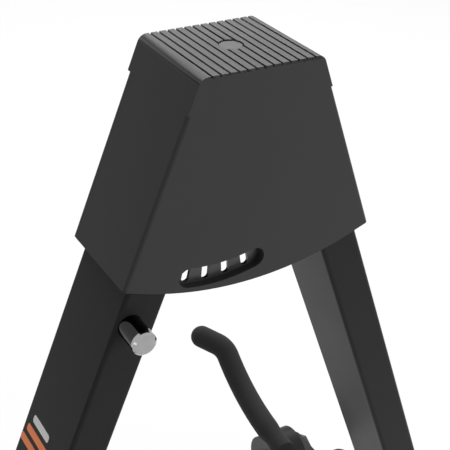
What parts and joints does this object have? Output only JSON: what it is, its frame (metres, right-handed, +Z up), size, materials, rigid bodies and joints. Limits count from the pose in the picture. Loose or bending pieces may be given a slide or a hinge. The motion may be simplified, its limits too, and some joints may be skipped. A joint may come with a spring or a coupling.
{
  "type": "folding guitar stand",
  "caption": "Folding A-frame guitar stand with a ribbed hood, geared box-section legs, a slotted lock and padded support arms.",
  "frame": {"origin": "centre of the object's box on the floor, below the hood and a little towards the arms", "axes": "+X right across the wide face of the frame, +Y towards the padded arms, +Z up"},
  "size_m": [0.418, 0.2896, 0.45],
  "materials": {
    "hood_plastic": "fine satin mould texture",
    "button_plastic": "satin",
    "gate_steel": "blackened steel, satin",
    "bright_steel": "ground",
    "zinc_steel": "zinc plated",
    "chrome": "polished",
    "leg_paint": "black powder coat, satin",
    "shoe_plastic": "satin",
    "cast_grey": "as cast, painted",
    "bush_plastic": "plain",
    "rubber": "matt",
    "foam": "matt closed-cell foam"
  },
  "bodies": {
    "root": {"hood": "hood_plastic", "cap": "hood_plastic", "rear_cover": "hood_plastic", "cover_screws": "zinc_steel", "gate_plate": "gate_steel", "pivot_pins": "bright_steel", "button_spring": "bright_steel"},
    "button": {"release_button": "button_plastic"},
    "left_leg": {"left_leg_head": "cast_grey", "left_bushes": "bush_plastic", "left_leg_tube": "leg_paint", "left_head_rivets": "zinc_steel", "left_leg_shoe": "shoe_plastic", "left_shoe_screws": "zinc_steel", "left_foot_bar": "leg_paint", "left_foot_caps": "rubber", "left_arm_bracket": "leg_paint", "left_bracket_screws": "zinc_steel", "left_hub_bolt": "zinc_steel", "left_hub_nut": "zinc_steel", "lock_spring": "bright_steel"},
    "right_leg": {"right_leg_head": "cast_grey", "right_bushes": "bush_plastic", "right_leg_tube": "leg_paint", "right_head_rivets": "zinc_steel", "right_leg_shoe": "shoe_plastic", "right_shoe_screws": "zinc_steel", "right_foot_bar": "leg_paint", "right_foot_caps": "rubber", "right_arm_bracket": "leg_paint", "right_bracket_screws": "zinc_steel", "right_hub_bolt": "zinc_steel", "right_hub_nut": "zinc_steel"},
    "lock": {"lock_carrier": "gate_steel", "lock_pin": "chrome", "release_peg": "chrome", "peg_screw": "zinc_steel"},
    "left_arm": {"left_arm_hub": "shoe_plastic", "left_arm_rod": "leg_paint", "left_arm_foam": "foam"},
    "right_arm": {"right_arm_hub": "shoe_plastic", "right_arm_rod": "leg_paint", "right_arm_foam": "foam"}
  },
  "joints": [
    {"name": "left_leg_fold", "type": "hinge", "parent": "root", "child": "left_leg", "pos_m": [-0.018, -0.06136, 0.437], "axis": [0, -1, 0], "range_deg": [0, 14.1]},
    {"name": "right_leg_fold", "type": "hinge", "parent": "root", "child": "right_leg", "pos_m": [0.018, -0.06136, 0.437], "axis": [0, 1, 0], "range_deg": [0, 14.1]},
    {"name": "button_press", "type": "slide", "parent": "root", "child": "button", "axis": [0, 0, -1], "range_m": [0, 0.0035], "stiffness_N_per_m": 300, "deforming": ["button_spring"]},
    {"name": "lock_slide", "type": "slide", "parent": "left_leg", "child": "lock", "axis": [0, -1, 0], "range_m": [0, 0.0044], "stiffness_N_per_m": 250, "springref_m": 0.0044},
    {"name": "left_arm_swing", "type": "hinge", "parent": "left_leg", "child": "left_arm", "pos_m": [-0.12, 0.04864, 0.065], "axis": [1, 0, 0], "range_deg": [0, 75]},
    {"name": "right_arm_swing", "type": "hinge", "parent": "right_leg", "child": "right_arm", "pos_m": [0.12, 0.04864, 0.065], "axis": [1, 0, 0], "range_deg": [0, 75]}
  ],
  "couplings": [
    {"joint": "right_leg_fold", "follows": "left_leg_fold", "ratio": 1}
  ]
}
